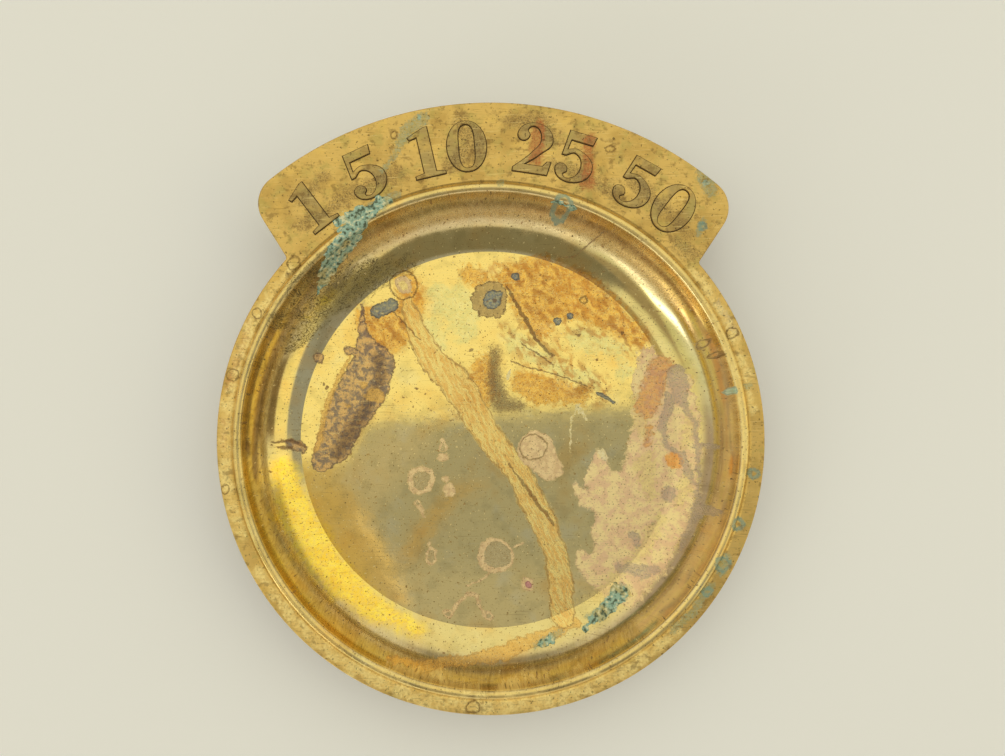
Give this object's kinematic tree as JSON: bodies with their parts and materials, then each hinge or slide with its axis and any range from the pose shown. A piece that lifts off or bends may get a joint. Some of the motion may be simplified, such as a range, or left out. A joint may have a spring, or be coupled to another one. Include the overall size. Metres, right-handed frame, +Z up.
{
  "type": "coin tray",
  "caption": "Shallow round brass dish with a flat rim, a rounded bead round its well and an arched tab at the back, on a felt pad under its turned foot.",
  "frame": {"origin": "on the dish's axis, at the plane that the felt pad rests on", "axes": "+Z up out of the well, +Y from the dish's axis towards the arched tab, +X to the right seen from the front with the tab at the back"},
  "size_m": [0.127, 0.142, 0.0181],
  "materials": {
    "brass": "polished well and bead, satin rim and tab, tarnished with some verdigris",
    "felt": "pressed green wool felt",
    "adhesive": "dried contact adhesive"
  },
  "bodies": {
    "root": {"tray_body": "brass", "base_felt": "felt", "felt_adhesive": "adhesive"}
  },
  "joints": []
}
